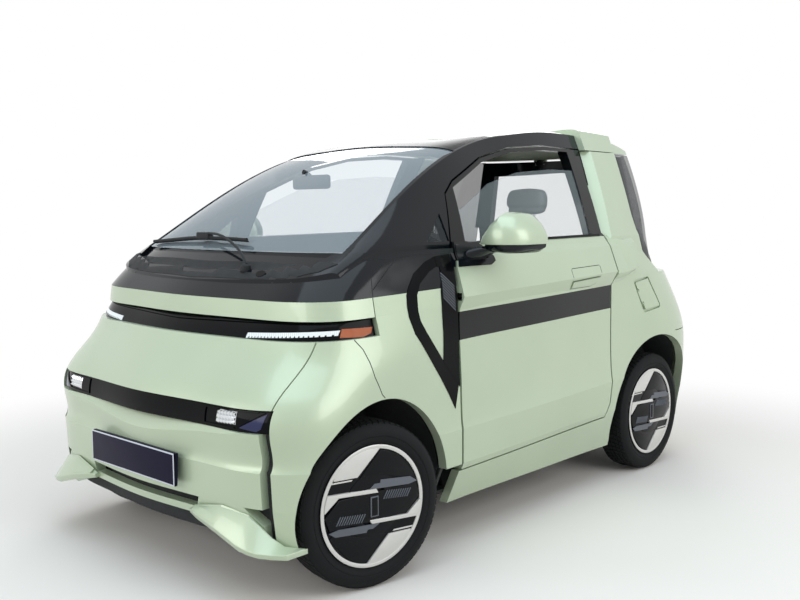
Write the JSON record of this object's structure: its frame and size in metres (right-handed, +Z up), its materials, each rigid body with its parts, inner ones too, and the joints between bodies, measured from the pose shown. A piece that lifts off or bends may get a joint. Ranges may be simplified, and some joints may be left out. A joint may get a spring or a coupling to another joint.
{
  "type": "two-door electric microcar",
  "caption": "Tall electric microcar with sage green body, dark glasshouse, two hinged side doors, lifting tailgate, charge flap, steered front wheels and a two-seat cabin.",
  "frame": {"origin": "on the ground, under the middle of the vehicle's length and width", "axes": "+Z up, -Y to the front, +X to the vehicle's left"},
  "size_m": [1.8038, 2.9409, 1.6116],
  "materials": {
    "paint_sage": "sage green two-coat paint with a clear coat",
    "paint_black": "gloss black panel",
    "glass_tinted": "lightly tinted glass",
    "glass_dark": "dark privacy glass",
    "plastic_black": "grained black plastic",
    "plastic_grey": "grained dark grey plastic",
    "steel_dark": "black coated steel",
    "alloy_cast": "cast aluminium",
    "wheel_black": "gloss black wheel with silver faces",
    "tyre_rubber": "tyre rubber",
    "lamp_black": "gloss black lamp surround",
    "lamp_red": "red tail lamp cover",
    "plate_navy": "plain dark blue plate",
    "seat_fabric": "light grey woven fabric"
  },
  "bodies": {
    "body": {"chassis_frame": "steel_dark", "arch_liners": "plastic_black", "battery_pack": "steel_dark", "drive_motor": "alloy_cast", "rear_axle": "steel_dark", "front_suspension": "steel_dark", "front_fenders": "paint_sage", "hood": "paint_sage", "nose_band": "paint_sage", "light_strip": "lamp_black", "grille_band": "lamp_black", "front_bumper": "paint_sage", "front_insert": "plastic_black", "cowl_panel": "paint_black", "windscreen": "glass_tinted", "roof_panel": "paint_sage", "glasshouse_frame": "paint_black", "body_sides": "paint_sage", "rear_bumper": "paint_sage", "side_glass": "glass_dark", "number_plates": "plate_navy", "dashboard": "plastic_grey", "seat_cushions": "seat_fabric", "seat_backs": "seat_fabric"},
    "door_left": {"door_left": "paint_sage", "door_glass_left": "glass_tinted", "mirror_left": "paint_sage"},
    "door_right": {"door_right": "paint_sage", "door_glass_right": "glass_tinted", "mirror_right": "paint_sage"},
    "tailgate": {"tailgate": "paint_black", "tailgate_glass": "glass_tinted", "tail_light": "lamp_red"},
    "charge_flap": {"charge_flap": "paint_sage"},
    "knuckle_left": {"knuckle_left": "steel_dark"},
    "knuckle_right": {"knuckle_right": "steel_dark"},
    "steering_wheel": {"steering_wheel": "plastic_black"},
    "wheel_front_left": {"wheel_front_left": "wheel_black", "tyre_front_left": "tyre_rubber"},
    "wheel_front_right": {"wheel_front_right": "wheel_black", "tyre_front_right": "tyre_rubber"},
    "wheel_rear_left": {"wheel_rear_left": "wheel_black", "tyre_rear_left": "tyre_rubber"},
    "wheel_rear_right": {"wheel_rear_right": "wheel_black", "tyre_rear_right": "tyre_rubber"}
  },
  "joints": [
    {"name": "steer_left", "type": "hinge", "parent": "body", "child": "knuckle_left", "pos_m": [0.568, -0.995, 0.279], "axis": [0, 0, 1], "range_deg": [-23.6, 44.4]},
    {"name": "steer_right", "type": "hinge", "parent": "body", "child": "knuckle_right", "pos_m": [-0.568, -0.995, 0.279], "axis": [0, 0, 1], "range_deg": [-24.1, 44.9]},
    {"name": "steering_turn", "type": "hinge", "parent": "body", "child": "steering_wheel", "pos_m": [0.32, -0.28, 0.98], "axis": [0, 0.9063, 0.4226], "range_deg": [-341.8, 641.4]},
    {"name": "wheel_spin_front_left", "type": "hinge", "parent": "knuckle_left", "child": "wheel_front_left", "pos_m": [0.66242, -1.01233, 0.279], "axis": [0.9836, -0.1805, 0], "continuous": true},
    {"name": "wheel_spin_front_right", "type": "hinge", "parent": "knuckle_right", "child": "wheel_front_right", "pos_m": [-0.66242, -0.97767, 0.279], "axis": [0.9836, -0.1805, 0], "continuous": true},
    {"name": "wheel_spin_rear_left", "type": "hinge", "parent": "body", "child": "wheel_rear_left", "pos_m": [0.63, 0.905, 0.279], "axis": [1, 0, 0], "continuous": true},
    {"name": "wheel_spin_rear_right", "type": "hinge", "parent": "body", "child": "wheel_rear_right", "pos_m": [-0.63, 0.905, 0.279], "axis": [1, 0, 0], "continuous": true},
    {"name": "door_left_hinge", "type": "hinge", "parent": "body", "child": "door_left", "pos_m": [0.718, -0.512, 0.687], "axis": [0, 0, 1], "range_deg": [-62, 0]},
    {"name": "door_right_hinge", "type": "hinge", "parent": "body", "child": "door_right", "pos_m": [-0.718, -0.512, 0.687], "axis": [0, 0, 1], "range_deg": [0, 62]},
    {"name": "tailgate_hinge", "type": "hinge", "parent": "body", "child": "tailgate", "pos_m": [0, 1.158, 1.508], "axis": [1, 0, 0], "range_deg": [0, 75]},
    {"name": "charge_flap_hinge", "type": "hinge", "parent": "body", "child": "charge_flap", "pos_m": [0.71, 0.758, 0.838], "axis": [0.119, 0.4761, -0.8713], "range_deg": [0, 95]}
  ],
  "couplings": [
    {"joint": "steer_right", "follows": "steer_left", "ratio": 1},
    {"joint": "steering_turn", "follows": "steer_left", "ratio": 14.4}
  ]
}
